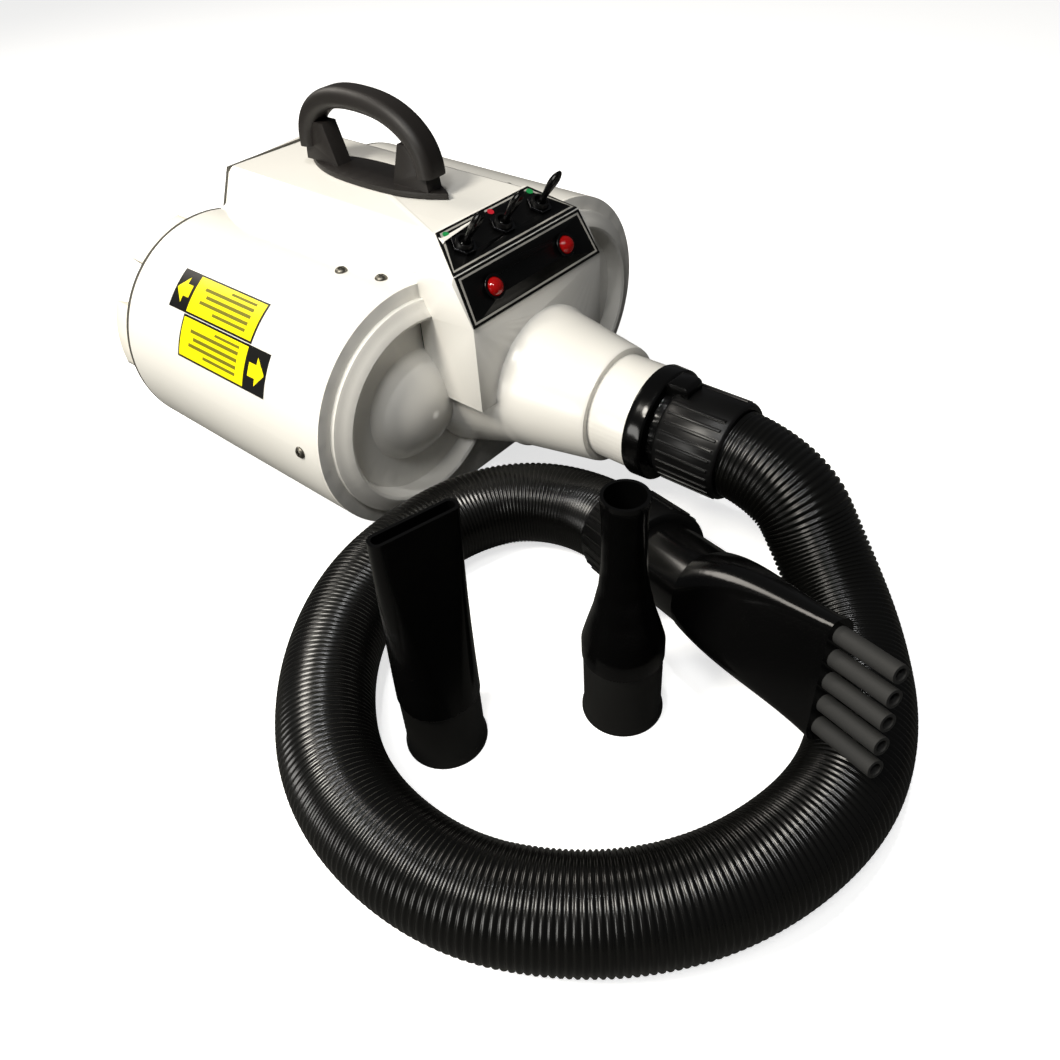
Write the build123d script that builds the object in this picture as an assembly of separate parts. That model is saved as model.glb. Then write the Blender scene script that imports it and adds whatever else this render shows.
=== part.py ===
from build123d import *
import math
import os

os.makedirs("parts", exist_ok=True)

# Twin-motor pet dryer. Millimetres, +Z up, outlet towards -Y, floor at z = 0.
# Everything is drawn about the machine's own middle, then the whole set is moved
# so that the bounding box of the machine and its loose nozzles stands on the origin.

# ---- barrels and sheet-metal shell ----
BARREL_R = 80.0            # outside radius of each barrel
BARREL_X = 75.5            # half the distance between the barrel axes
GROUND_GAP = 7.0           # height of the shell's underside above the floor
BARREL_Z = GROUND_GAP + BARREL_R
SHEET = 1.2                # sheet steel thickness
SHELL_FRONT = -105.5
SHELL_BACK = 93.0
SPINE_TOP = 189.0          # height of the raised spine
SPINE_HALF = 42.0          # half width of its flat top
CREASE_X = 53.5            # where the spine's side meets the barrel
SKIN_GAP = 0.15            # gap between the shell and the skirts inside it

# ---- front cover ----
WALL = 2.5                 # moulded wall
FRONT_Y = SHELL_FRONT - WALL
SKIRT_DEPTH = 54.0
LIP_R = 71.0               # outer radius of the raised ring on each barrel end
RIDGE_R = 60.5             # crest radius of that ring
FLOOR_R = 57.0             # outer radius of the recess inside it
DOME_R = 37.0
DOME_RISE = 20.0
BOX_HALF = 60.6            # half width of the control box
BOX_SIDE_TOP = 173.0
BOX_SIDE_LOW = 91.0
BOX_FRONT = -151.0
PANEL_TOP_Y = FRONT_Y
PANEL_MID_Y = -136.0
PANEL_MID_Z = 175.5
PANEL_LOW_Z = 148.0
DUCT_R = 47.0              # front radius of the funnel under the box
FUNNEL_R = 60.0            # its radius where it meets the barrel ends
NECK_Z = 86.4
NECK_ROOT_R = 47.5
NECK_END_R = 37.0
NECK_END = -211.0

# ---- hose ----
HOSE_OD = 52.0
HOSE_WALL = 2.0
HOSE_Z = HOSE_OD / 2 + 0.4 # height of its middle where it lies on the floor
HOSE_RUN = (
    (0.0, -327.0, 86.4),
    (-10.0, -363.0, 45.0),
    (-41.0, -399.0, HOSE_Z + 0.6),
    (-90.0, -428.0, HOSE_Z),
    (-142.0, -436.0, HOSE_Z),
    (-204.0, -417.0, HOSE_Z),
    (-251.0, -377.0, HOSE_Z),
    (-282.0, -318.0, HOSE_Z),
    (-278.0, -243.0, HOSE_Z),
    (-236.0, -184.0, HOSE_Z),
    (-174.0, -146.5, HOSE_Z),
    (-110.0, -144.5, HOSE_Z),
    (-68.0, -160.0, HOSE_Z),
    (-44.0, -188.0, HOSE_Z + 0.2),
)
HOSE_APPROACH = 34.0       # straight run that ends in the nozzle's cuff

# ---- outlet sleeve and hose connector ----
SLEEVE_R = 33.0
SLEEVE_WALL = 2.2
SLEEVE_BACK = -194.0
COLLAR_R = 34.5
COLLAR_BACK = -238.0
COLLAR_FRONT = -250.0
CUFF_WALL = 3.5
CUFF_R = HOSE_OD / 2 + CUFF_WALL
CUFF_FRONT = -296.0
GROOVE_R = CUFF_R - 2.0
GROOVE_LEN = 5.0
HEATER_GAP = 3.0           # heater hoop inside the sleeve

# ---- claw nozzle on the hose ----
LOFT_CORNER = 0.9          # corner radius of a lofted section as a share of its half thickness
TOOL_START = (-50.0, -258.0, 36.5)
TOOL_END = (-127.2, -442.9, 87.0)
TOOL_CUFF_LEN = 46.0
TOOL_SPIGOT_R = HOSE_OD / 2 - HOSE_WALL - 1.0
TOOL_TUBE_R = TOOL_SPIGOT_R + 0.5
TOOL_TUBE_LEN = 46.0
CLAW_ROLL = -74.0          # turn of the claw about its own axis
CLAW_HALF = 31.5
CLAW_THICK = 14.5
FINGERS = 5
FINGER_R = 4.5
FINGER_BORE_R = 3.0
FINGER_PITCH = 11.8
FINGER_LEN = 35.4
FINGER_ROOT = 8.0          # part of each finger held inside the body

# ---- loose nozzles ----
NOZZLE_BASE_R = 21.0
NOZZLE_FOOT_R = 22.2
NOZZLE_WALL = 2.0
NOZZLE_BASE_LEN = 44.0
ROUND_XY = (-132.0, -310.0)
ROUND_H = 150.0
ROUND_NECK_R = 10.9
ROUND_MOUTH_R = 11.9
FLAT_XY = (-207.0, -247.0)
FLAT_H = 150.0
FLAT_W = 46.0
FLAT_T = 9.5
FLAT_TURN = -14.0          # how far the flat nozzle is turned about its own axis
FLAT_LEAN = (4.6, 2.2)     # how far its mouth stands off that axis

# ---- rear ----
GASKET_T = 3.0
INTAKE_R = 50.0
CAP_R = 59.5
CAP_BACK = 119.0
LUG_R = 75.0
LUGS = 6
LUG_ANGLE = 36.0
LUG_FIRST = 169.0
FOAM_T = 8.0
INLET_W = 28.0             # cut-out for the mains inlet
INLET_H = 20.0
INLET_Z = 31.0

# ---- motors ----
BULKHEAD_Y = 30.0
BULKHEAD_T = 2.0
CAN_R = 61.0
CAN_T = 1.5
CAN_FRONT = -14.0
CAN_BACK = 36.5
FRAME_R = 45.0
FRAME_FRONT = -80.0
SHAFT_R = 4.0
SHAFT_GAP = 0.05           # running clearance of the shaft in its bearings
IMPELLER_R = 55.0
STATOR_IN_R = 27.0
ARMATURE_R = 25.5

# ---- control panel ----
PLATE_T = 0.8
PLATE_MARGIN = 0.4
TOGGLE_PITCH = 34.5
TOGGLE_LEAN = 10.6
LEVER_LEN = 29.0
BUSH_R = 5.6
BUSH_BORE_R = 4.1
BUSH_H = 4.6
BALL_R = 3.6
LAMP_X = 33.5
LENS_R = 5.6
BEZEL_R = 7.6
MARK_R = 2.2
MARK_PITCH = 39.0
MARK_SHIFT = 2.0

# ---- handle ----
HANDLE_Y = -9.0
HANDLE_LEN = 124.0
HANDLE_TOP = 245.0
GRIP_W = 19.0
GRIP_T = 13.5
BASE_Y = -13.5             # middle of the base plate
BASE_LEN = 132.0
PLATE_W = 32.0
PLATE_H = 3.5

# ---- small parts ----
SCREW_HEAD_R = 3.9
SCREW_HEAD_H = 2.0
SCREW_R = 1.9
SCREW_HOLE_R = 2.0
FOOT_R = 11.0
FOOT_X = 75.5
FOOT_FRONT_Y = -78.0
FOOT_BACK_Y = 62.0
LABEL_T = 0.25

SIDES = (("near", -1), ("far", 1))
PARTS = {}


def keep(name, solid):
    PARTS[name] = solid
    return solid


def together(solids):
    """Separate solids that share one node."""
    total = solids[0]
    for solid in solids[1:]:
        total = total + solid
    return total


def turned_y(points):
    """Solid of revolution about Y from (radius, y) corners."""
    return revolve(make_face(Polyline(*points, close=True)), axis=Axis.Y)


def turned_z(points):
    """Solid of revolution about Z from (radius, z) corners."""
    face = make_face(Polyline(*points, close=True))
    return revolve(Plane.XZ * face, axis=Axis.Z)


def slab(sketch, y0, y1):
    """Sketch drawn in X and Z, made solid from y0 to y1."""
    return extrude(Plane.XZ.offset(-y1) * sketch, amount=y1 - y0)


def rod_y(r, y0, y1, x=0.0, z=0.0):
    return slab(Pos(x, z) * Circle(r), y0, y1)


def box(x0, x1, y0, y1, z0, z1):
    mid = ((x0 + x1) / 2, (y0 + y1) / 2, (z0 + z1) / 2)
    return Pos(*mid) * Box(x1 - x0, y1 - y0, z1 - z0)


def on_barrel(side, solid):
    return Pos(side * BARREL_X, 0, BARREL_Z) * solid


def outline(inset=0.0):
    """Cross-section of the whole shell: two circles, the spine and a flat belly."""
    crease_z = BARREL_Z + math.sqrt(BARREL_R**2 - (BARREL_X - CREASE_X) ** 2)
    half = [(SPINE_HALF, SPINE_TOP), (CREASE_X, crease_z), (CREASE_X, BARREL_Z)]
    ring = half + [(-x, z) for x, z in reversed(half)]
    shape = Pos(-BARREL_X, BARREL_Z) * Circle(BARREL_R)
    shape += Pos(BARREL_X, BARREL_Z) * Circle(BARREL_R)
    shape += make_face(Polyline(*ring, close=True))
    shape += Pos(0, GROUND_GAP + BARREL_R / 2) * Rectangle(2 * BARREL_X, BARREL_R)
    if inset:
        shape = offset(shape, amount=-inset, kind=Kind.INTERSECTION)
    return shape


def shell_screw_spots():
    """(side, height angle on the barrel in degrees, y) of each shell screw."""
    spots = []
    for _, side in SIDES:
        spots.append((side, 91.0, -59.0))
        spots.append((side, 86.0, -87.0))
        spots.append((side, 177.0, -90.0))
    return spots


def radial(side, angle, y, solid):
    """Put a solid drawn along +Z from the barrel's surface onto the barrel."""
    turn = Rot(0, 90 - angle if side < 0 else angle - 90, 0)
    raise_up = Pos(0, 0, BARREL_R)
    return Pos(side * BARREL_X, y, BARREL_Z) * turn * raise_up * solid


def drill_shell(solid):
    hole = Cylinder(SCREW_HOLE_R, 16)
    for side, angle, y in shell_screw_spots():
        solid = solid - radial(side, angle, y, hole)
    return solid


def make_shell():
    shell = slab(outline() - outline(SHEET), SHELL_FRONT, SHELL_BACK)
    keep("barrel_shell", drill_shell(shell))


def ring_relief():
    """Ringed and domed end of one barrel, as a shell of even wall."""
    y = FRONT_Y
    rise = DOME_RISE
    ball = (DOME_R**2 + rise**2) / (2 * rise)
    tip = y + 3.5 - rise
    centre = tip + ball
    half = math.asin(DOME_R / ball) / 2
    inner = ball - WALL
    back_r = math.sqrt(inner**2 - (centre - (y + 3.5 + WALL)) ** 2)
    half_b = math.asin(back_r / inner) / 2
    edges = [
        Polyline(
            (0, tip + WALL),
            (0, tip),
        ),
        ThreePointArc(
            (0, tip),
            (ball * math.sin(half), centre - ball * math.cos(half)),
            (DOME_R, y + 3.5),
        ),
        Polyline(
            (DOME_R, y + 3.5),
            (FLOOR_R, y + 3.5),
            (RIDGE_R - 1.2, y - 7.5),
            (RIDGE_R + 0.8, y - 8.5),
            (LIP_R - 2.0, y - 3.8),
            (LIP_R, y - 3.2),
            (LIP_R, y + WALL),
            (LIP_R - WALL, y + WALL),
            (LIP_R - WALL, y - 1.2),
            (RIDGE_R + 1.6, y - 5.2),
            (FLOOR_R + 2.6, y + 3.5 + WALL),
            (back_r, y + 3.5 + WALL),
        ),
        ThreePointArc(
            (back_r, y + 3.5 + WALL),
            (inner * math.sin(half_b), centre - inner * math.cos(half_b)),
            (0, tip + WALL),
        ),
    ]
    return revolve(make_face(edges), axis=Axis.Y)


def box_section(inset=0.0):
    """Front view of the control box: sloped shoulders, straight sides, flat underside."""
    half = [(SPINE_HALF, SPINE_TOP), (BOX_HALF, BOX_SIDE_TOP), (BOX_HALF, BOX_SIDE_LOW)]
    ring = half + [(-x, z) for x, z in reversed(half)]
    shape = make_face(Polyline(*ring, close=True))
    if inset:
        shape = offset(shape, amount=-inset, kind=Kind.INTERSECTION)
    return shape


def funnel(inset, back, front=BOX_FRONT):
    """Cone round the outlet's axis that carries the box down to the outlet neck."""
    slope = (FUNNEL_R - DUCT_R) / (FRONT_Y - BOX_FRONT)
    wide = DUCT_R + slope * (back - BOX_FRONT) - inset
    narrow = DUCT_R + slope * (front - BOX_FRONT) - inset
    cone = turned_y([(0.0, front), (narrow, front), (wide, back), (0.0, back)])
    return Pos(0, 0, NECK_Z) * cone


def box_side(inset=0.0, back=SHELL_FRONT):
    """Side view of the control box, as (y, z) corners, with its two panel slopes."""
    ring = [
        (back + inset, 20.0),
        (back + inset, SPINE_TOP),
        (PANEL_TOP_Y, SPINE_TOP),
        (PANEL_MID_Y, PANEL_MID_Z),
        (BOX_FRONT, PANEL_LOW_Z),
        (BOX_FRONT, 20.0),
    ]
    shape = make_face(Polyline(*ring, close=True))
    if inset:
        shape = offset(shape, amount=-inset, kind=Kind.INTERSECTION)
    return shape


def box_body(inset, back):
    wide = slab(box_section(inset), BOX_FRONT - 1, back)
    tall = extrude(Plane.YZ * box_side(inset, back), amount=BARREL_X, both=True)
    return wide & tall


def neck():
    """Tapered outlet neck with its socket for the sleeve."""
    root = BOX_FRONT + WALL
    outer = [
        (NECK_ROOT_R, root),
        (NECK_ROOT_R, BOX_FRONT - 4.0),
        (NECK_ROOT_R - 1.6, BOX_FRONT - 7.0),
        (NECK_END_R + 0.6, NECK_END + 2.0),
        (NECK_END_R, NECK_END),
        (SLEEVE_R, NECK_END),
        (SLEEVE_R, SLEEVE_BACK),
        (SLEEVE_R - SLEEVE_WALL, SLEEVE_BACK),
        (NECK_ROOT_R - 1.6 - WALL, BOX_FRONT - 7.0),
        (NECK_ROOT_R - WALL, root),
    ]
    return Pos(0, 0, NECK_Z) * turned_y(outer)


def make_front_cover():
    cover = slab(outline(), FRONT_Y, SHELL_FRONT)
    inner = SHEET + SKIN_GAP
    skirt = outline(inner) - outline(inner + 2.0)
    cover += slab(skirt, SHELL_FRONT, SHELL_FRONT + SKIRT_DEPTH)
    for _, side in SIDES:
        cover -= on_barrel(side, rod_y(LIP_R - 1.0, FRONT_Y - 1, SHELL_FRONT + 1))
        cover += on_barrel(side, ring_relief())
    cover -= slab(box_section(0.5), BOX_FRONT, SHELL_FRONT + 4)
    cover -= funnel(0.5, SHELL_FRONT + 4)
    cover += box_body(0.0, SHELL_FRONT) + funnel(0.0, SHELL_FRONT)
    cover -= box_body(WALL, SHELL_FRONT + 8)
    cover -= funnel(WALL, SHELL_FRONT + 8, BOX_FRONT + WALL)
    cover -= Pos(0, 0, NECK_Z) * rod_y(NECK_ROOT_R - WALL, BOX_FRONT - 1, BOX_FRONT + WALL + 1)
    cover += neck()
    cover = drill_shell(cover)
    cover -= panel_holes()
    keep("front_cover", cover)


def upper_plane():
    """Plane of the upper panel slope; local y runs up the slope."""
    y = (PANEL_TOP_Y + PANEL_MID_Y) / 2
    z = (SPINE_TOP + PANEL_MID_Z) / 2
    run = PANEL_MID_Y - PANEL_TOP_Y
    drop = SPINE_TOP - PANEL_MID_Z
    size = math.hypot(run, drop)
    return Plane(origin=(0, y, z), x_dir=(1, 0, 0), z_dir=(0, -drop / size, -run / size))


def lower_plane():
    """Plane of the lower panel slope; local y runs up the slope."""
    y = (PANEL_MID_Y + BOX_FRONT) / 2
    z = (PANEL_MID_Z + PANEL_LOW_Z) / 2
    run = BOX_FRONT - PANEL_MID_Y
    drop = PANEL_MID_Z - PANEL_LOW_Z
    size = math.hypot(run, drop)
    return Plane(origin=(0, y, z), x_dir=(1, 0, 0), z_dir=(0, -drop / size, -run / size))


def place(plane, x, y, solid):
    """Put a solid drawn along +Z onto a panel plane."""
    return plane.location * Pos(x, y, 0) * solid


def toggle_xs():
    return [-TOGGLE_PITCH, 0.0, TOGGLE_PITCH]


TOGGLE_NAMES = ("left", "centre", "right")
TOGGLE_UP = -1.0           # how far up the slope from its middle the switches sit


def panel_holes():
    cut = None
    for x in toggle_xs():
        hole = place(upper_plane(), x, TOGGLE_UP, Cylinder(BUSH_R + 0.15, 12))
        cut = hole if cut is None else cut + hole
    for side in (-1, 1):
        cut += place(lower_plane(), side * LAMP_X, 0, Cylinder(LENS_R + 0.1, 12))
    return cut


def shoulder_half(z):
    """Half width of the control box at a height."""
    if z <= BOX_SIDE_TOP:
        return BOX_HALF
    part = (z - BOX_SIDE_TOP) / (SPINE_TOP - BOX_SIDE_TOP)
    return BOX_HALF + part * (SPINE_HALF - BOX_HALF)


def make_panels():
    up = math.hypot(PANEL_TOP_Y - PANEL_MID_Y, SPINE_TOP - PANEL_MID_Z) / 2
    low = math.hypot(PANEL_MID_Y - BOX_FRONT, PANEL_MID_Z - PANEL_LOW_Z) / 2
    m = PLATE_MARGIN
    top_w = shoulder_half(SPINE_TOP) - m
    mid_w = shoulder_half(PANEL_MID_Z) - m
    low_w = BOX_HALF - m
    ring = [(-mid_w, m - up), (mid_w, m - up), (top_w, up - m * 0.5), (-top_w, up - m * 0.5)]
    upper = extrude(make_face(Polyline(*ring, close=True)), amount=PLATE_T)
    upper = upper_plane().location * upper
    ring = [(-low_w, m - low), (low_w, m - low), (mid_w, low - m), (-mid_w, low - m)]
    lower = extrude(make_face(Polyline(*ring, close=True)), amount=PLATE_T)
    lower = lower_plane().location * lower
    cuts = panel_holes()
    keep("panel_upper", upper - cuts)
    keep("panel_lower", lower - cuts)


def make_toggles():
    plane = upper_plane()
    lift = -WALL
    nose = BUSH_H + PLATE_T
    bush = Pos(0, 0, (nose + lift) / 2) * Cylinder(BUSH_R, nose - lift)
    body = Pos(0, 0, lift - 11.0) * Box(13, 18, 22)
    cave = Pos(0, 0, nose - 3.0) * Cylinder(BUSH_BORE_R, 12)
    switch = bush + body - cave
    nut = extrude(RegularPolygon(BUSH_R + 2.6, 6), amount=2.2) - Cylinder(BUSH_R, 12)
    nut = Pos(0, 0, PLATE_T) * nut
    keep("toggle_bodies", together([place(plane, x, TOGGLE_UP, switch) for x in toggle_xs()]))
    keep("toggle_nuts", together([place(plane, x, TOGGLE_UP, nut) for x in toggle_xs()]))
    for name, x in zip(TOGGLE_NAMES, toggle_xs()):
        keep("toggle_lever_" + name, place(plane, x, TOGGLE_UP, lever()))


def lever_pivot_height():
    return PLATE_T + BUSH_H - 3.9


def lever():
    """Ball, neck and long flat paddle, leaning down the slope."""
    ball = Sphere(BALL_R)
    stem = Pos(0, 0, 3.0) * Cone(2.4, 2.0, 6.0)
    paddle = loft([
        Pos(0, 0, 5.0) * RectangleRounded(4.2, 3.2, 1.2),
        Pos(0, 0, LEVER_LEN * 0.55) * RectangleRounded(6.6, 4.0, 1.6),
        Pos(0, 0, LEVER_LEN * 0.9) * RectangleRounded(6.6, 3.8, 1.6),
        Pos(0, 0, LEVER_LEN) * RectangleRounded(4.4, 2.2, 0.9),
    ])
    solid = ball + stem + paddle
    return Pos(0, 0, lever_pivot_height()) * Rot(TOGGLE_LEAN, 0, 0) * solid


def make_lamps():
    plane = lower_plane()
    rise = 4.6
    ball = (LENS_R**2 + rise**2) / (2 * rise)
    base = PLATE_T + 1.2
    cap = Pos(0, 0, base + rise - ball) * Sphere(ball)
    cap = cap & Pos(0, 0, base + 5) * Cylinder(LENS_R, 10)
    foot = Pos(0, 0, (base - WALL - 9) / 2) * Cylinder(LENS_R, base + WALL + 9)
    lens = cap + foot
    ring = Pos(0, 0, PLATE_T + 0.8) * (Cylinder(BEZEL_R, 1.6) - Cylinder(LENS_R, 4))
    spots = (-LAMP_X, LAMP_X)
    keep("lamp_lenses", together([place(plane, x, 0, lens) for x in spots]))
    keep("lamp_bezels", together([place(plane, x, 0, ring) for x in spots]))


def make_marks():
    plane = upper_plane()
    up = math.hypot(PANEL_TOP_Y - PANEL_MID_Y, SPINE_TOP - PANEL_MID_Z) / 2 - 4.6
    dot = Pos(0, 0, PLATE_T + 0.15) * Cylinder(MARK_R, 0.3)
    pair = place(plane, MARK_SHIFT - MARK_PITCH, up, dot)
    pair += place(plane, MARK_SHIFT + MARK_PITCH - 2.0, up, dot)
    keep("marks_green", pair)
    keep("mark_red", place(plane, MARK_SHIFT, up, dot))


def make_sleeve():
    points = [
        (SLEEVE_R, SLEEVE_BACK),
        (SLEEVE_R, COLLAR_BACK - 4.0),
        (SLEEVE_R - SLEEVE_WALL, COLLAR_BACK - 4.0),
        (SLEEVE_R - SLEEVE_WALL, SLEEVE_BACK),
    ]
    keep("outlet_sleeve", Pos(0, 0, NECK_Z) * turned_y(points))


def make_collar():
    """Flange ring that fits over the sleeve's end, with a raised catch on top."""
    bore = SLEEVE_R - SLEEVE_WALL - 3.0
    points = [
        (SLEEVE_R, COLLAR_BACK),
        (COLLAR_R + 0.4, COLLAR_BACK),
        (COLLAR_R + 0.8, COLLAR_BACK - 1.0),
        (COLLAR_R + 0.4, COLLAR_FRONT + 1.0),
        (COLLAR_R - 0.8, COLLAR_FRONT),
        (GROOVE_R, COLLAR_FRONT),
        (GROOVE_R, COLLAR_FRONT - GROOVE_LEN),
        (bore - 3.0, COLLAR_FRONT - GROOVE_LEN),
        (bore, COLLAR_BACK - 4.0),
        (SLEEVE_R, COLLAR_BACK - 4.0),
    ]
    solid = turned_y(points)
    catch = Pos(0, COLLAR_FRONT - 7.0, GROOVE_R + 3.0) * Box(15, 15.5, 9)
    catch = fillet(catch.edges().filter_by(Axis.X).group_by(Axis.Z)[-1], 3.5)
    catch -= rod_y(GROOVE_R - 0.5, COLLAR_FRONT - GROOVE_LEN, COLLAR_FRONT + 10)
    catch -= rod_y(CUFF_R, COLLAR_FRONT - 30, COLLAR_FRONT - GROOVE_LEN)
    keep("hose_collar", Pos(0, 0, NECK_Z) * (solid + catch))


def ribs(radius, y0, y1, count, skip):
    """Lengthwise grip ribs round a cuff, leaving a plain strip on top."""
    bars = []
    for i in range(count):
        angle = 360.0 * i / count
        if abs((angle + 180.0) % 360.0 - 180.0) < skip:
            continue
        bar = Pos(0, (y0 + y1) / 2, radius) * Box(1.7, abs(y1 - y0), 1.5)
        bars.append(Rot(0, angle, 0) * bar)
    return bars


def cuff_solid(back, front, hose_end):
    """Cuff along Y: from back to front, with a socket for the hose at hose_end."""
    r = HOSE_OD / 2
    towards = -1 if hose_end < (back + front) / 2 else 1
    shoulder = hose_end - towards * 12.0
    low, high = min(back, front), max(back, front)
    body = turned_y([
        (0.0, high),
        (CUFF_R - 1.0, high),
        (CUFF_R, high - 1.5),
        (CUFF_R, low + 1.5),
        (CUFF_R - 1.0, low),
        (0.0, low),
    ])
    body -= rod_y(r, min(shoulder, hose_end + towards), max(shoulder, hose_end + towards))
    body -= rod_y(r - HOSE_WALL - 1.0, low - 1, high + 1)
    for bar in ribs(CUFF_R + 0.1, low + 3.5, high - 3.5, 30, 14.0):
        body += bar
    return body


def make_machine_cuff():
    solid = cuff_solid(COLLAR_FRONT - GROOVE_LEN, CUFF_FRONT, CUFF_FRONT)
    keep("hose_cuff_machine", Pos(0, 0, NECK_Z) * solid)


def hose_points():
    start = (0.0, CUFF_FRONT + 12.0, NECK_Z)
    end = Vector(*TOOL_START)
    along = (Vector(*TOOL_END) - end).normalized()
    before = end - along * HOSE_APPROACH
    return [start] + list(HOSE_RUN) + [tuple(before), TOOL_START]


def hose_route():
    """Straight runs joined by tangent arcs. Prints the radii and the length."""
    points = [Vector(*p) for p in hose_points()]
    runs = [(b - a).length for a, b in zip(points, points[1:])]
    radii = []
    for i in range(1, len(points) - 1):
        before = (points[i] - points[i - 1]).normalized()
        after = (points[i + 1] - points[i]).normalized()
        turn = math.acos(max(-1.0, min(1.0, before.dot(after))))
        radii.append(0.45 * min(runs[i - 1], runs[i]) / math.tan(turn / 2))
    route = FilletPolyline(*points, radius=radii)
    print("hose points", [tuple(round(v, 2) for v in tuple(p)) for p in points])
    print("hose radii", [round(r, 1) for r in radii])
    print("hose length", round(route.length, 1))
    return route


def make_hose():
    route = hose_route()
    start = Plane(origin=route @ 0, z_dir=route % 0)
    outer = sweep(start * Circle(HOSE_OD / 2), path=route)
    inner = sweep(start * Circle(HOSE_OD / 2 - HOSE_WALL), path=route)
    hose = outer - inner
    ring = math.pi * ((HOSE_OD / 2) ** 2 - (HOSE_OD / 2 - HOSE_WALL) ** 2)
    print("hose volume over section times length", round(hose.volume / (ring * route.length), 4))
    keep("hose", hose)


def tool_plane():
    """Frame at the tool end of the hose: local -y runs along the tool, local x across."""
    a = Vector(*TOOL_START)
    b = Vector(*TOOL_END)
    along = (b - a).normalized()
    across = along.cross(Vector(0, 0, 1)).normalized()
    back = Vector(-along.X, -along.Y, -along.Z)
    return Plane(origin=a, x_dir=across * -1, z_dir=(across * -1).cross(back))


def claw_place():
    """Where the claw sits: on the tool's axis, turned about it."""
    return tool_plane().location * Rot(0, CLAW_ROLL, 0)


def tool_length():
    return (Vector(*TOOL_END) - Vector(*TOOL_START)).length


def make_tool_cuff():
    front = -TOOL_CUFF_LEN + 12.0
    solid = cuff_solid(12.0, front, 12.0)
    keep("hose_cuff_tool", tool_plane().location * solid)


def claw_outer(shrink):
    """Tube that opens into a flat wide mouth, along local -y."""
    r = TOOL_TUBE_R - shrink
    y1 = -TOOL_CUFF_LEN + 14.0 - TOOL_TUBE_LEN
    end = -(tool_length() - FINGER_LEN)
    tube = rod_y(r, y1, 12.0 - TOOL_CUFF_LEN)
    plug = rod_y(TOOL_SPIGOT_R - shrink, y1, 26.0 - TOOL_CUFF_LEN + shrink)
    tube += plug
    mid = (y1 + end) / 2
    half = CLAW_HALF - shrink
    thick = CLAW_THICK / 2 - shrink
    stations = (
        (y1, r, r),
        (mid, (r + half) / 2 + 2.0, (r + thick) / 2 - 2.5),
        (end + 10.0, half - 1.0, thick + 0.6),
        (end + (-0.5 if shrink else 0.0), half, thick),
    )
    faces = []
    for y, w, t in stations:
        faces.append(Plane.XZ.offset(-y) * RectangleRounded(2 * w, 2 * t, LOFT_CORNER * t))
    return tube + loft(faces)


def finger_xs():
    return [(i - (FINGERS - 1) / 2) * FINGER_PITCH for i in range(FINGERS)]


def make_claw():
    end = -(tool_length() - FINGER_LEN)
    body = claw_outer(0.0) - claw_outer(2.2)
    wall = slab(RectangleRounded(2 * CLAW_HALF - 3.0, CLAW_THICK - 3.0, 5.5), end, end + FINGER_ROOT)
    body += wall
    for x in finger_xs():
        body -= rod_y(FINGER_R, end - 2, end + FINGER_ROOT + 4, x=x)
    keep("claw_body", claw_place() * body)
    tubes = None
    for x in finger_xs():
        tube = rod_y(FINGER_R, end - FINGER_LEN, end + FINGER_ROOT, x=x)
        tube -= rod_y(FINGER_BORE_R, end - FINGER_LEN - 1, end + FINGER_ROOT + 1, x=x)
        tubes = tube if tubes is None else tubes + tube
    keep("claw_fingers", claw_place() * tubes)


def nozzle_base_points(wall):
    """Outer radius and height of the push-on end shared by both loose nozzles."""
    return [
        (NOZZLE_FOOT_R - wall, 0.0),
        (NOZZLE_FOOT_R - wall, 1.2),
        (NOZZLE_BASE_R - wall, 5.0),
        (NOZZLE_BASE_R - wall, NOZZLE_BASE_LEN),
    ]


def make_round_nozzle():
    grow = NOZZLE_BASE_LEN
    outer = nozzle_base_points(0.0) + [
        (NOZZLE_BASE_R + 0.7, grow + 1.0),
        (NOZZLE_BASE_R + 0.7, grow + 11.0),
        (NOZZLE_BASE_R - 1.6, grow + 20.0),
        (NOZZLE_BASE_R - 5.2, grow + 33.0),
        (ROUND_NECK_R + 1.9, grow + 48.0),
        (ROUND_NECK_R + 0.4, grow + 62.0),
        (ROUND_NECK_R, grow + 76.0),
        (ROUND_NECK_R + 0.2, ROUND_H - 14.0),
        (ROUND_MOUTH_R, ROUND_H - 2.0),
        (ROUND_MOUTH_R - 0.3, ROUND_H),
    ]
    inner = [
        (ROUND_MOUTH_R - NOZZLE_WALL, ROUND_H),
        (ROUND_NECK_R + 0.2 - NOZZLE_WALL, ROUND_H - 14.0),
        (ROUND_NECK_R + 0.4 - NOZZLE_WALL, grow + 62.0),
        (NOZZLE_BASE_R - 5.2 - NOZZLE_WALL, grow + 33.0),
        (NOZZLE_BASE_R - NOZZLE_WALL, grow + 12.0),
        (NOZZLE_BASE_R - NOZZLE_WALL, 0.0),
    ]
    keep("round_nozzle", Pos(*ROUND_XY, 0) * turned_z(outer + inner))


def fan_loft(shrink, top_extra):
    r = NOZZLE_BASE_R - shrink
    wide = FLAT_W / 2 - shrink
    thin = FLAT_T / 2 - shrink
    grow = NOZZLE_BASE_LEN - 4.0
    rise = FLAT_H - grow
    stations = (
        (grow, r, r),
        (grow + rise * 0.3, (r * 0.7 + wide * 0.3), (r * 0.55 + thin * 0.45)),
        (grow + rise * 0.65, (r * 0.35 + wide * 0.65), (r * 0.16 + thin * 0.84)),
        (FLAT_H + top_extra, wide, thin),
    )
    faces = []
    for z, w, t in stations:
        part = ((z - grow) / rise) ** 1.4
        middle = Pos(FLAT_LEAN[0] * part, FLAT_LEAN[1] * part, z)
        faces.append(middle * RectangleRounded(2 * w, 2 * t, LOFT_CORNER * t))
    return loft(faces)


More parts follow.
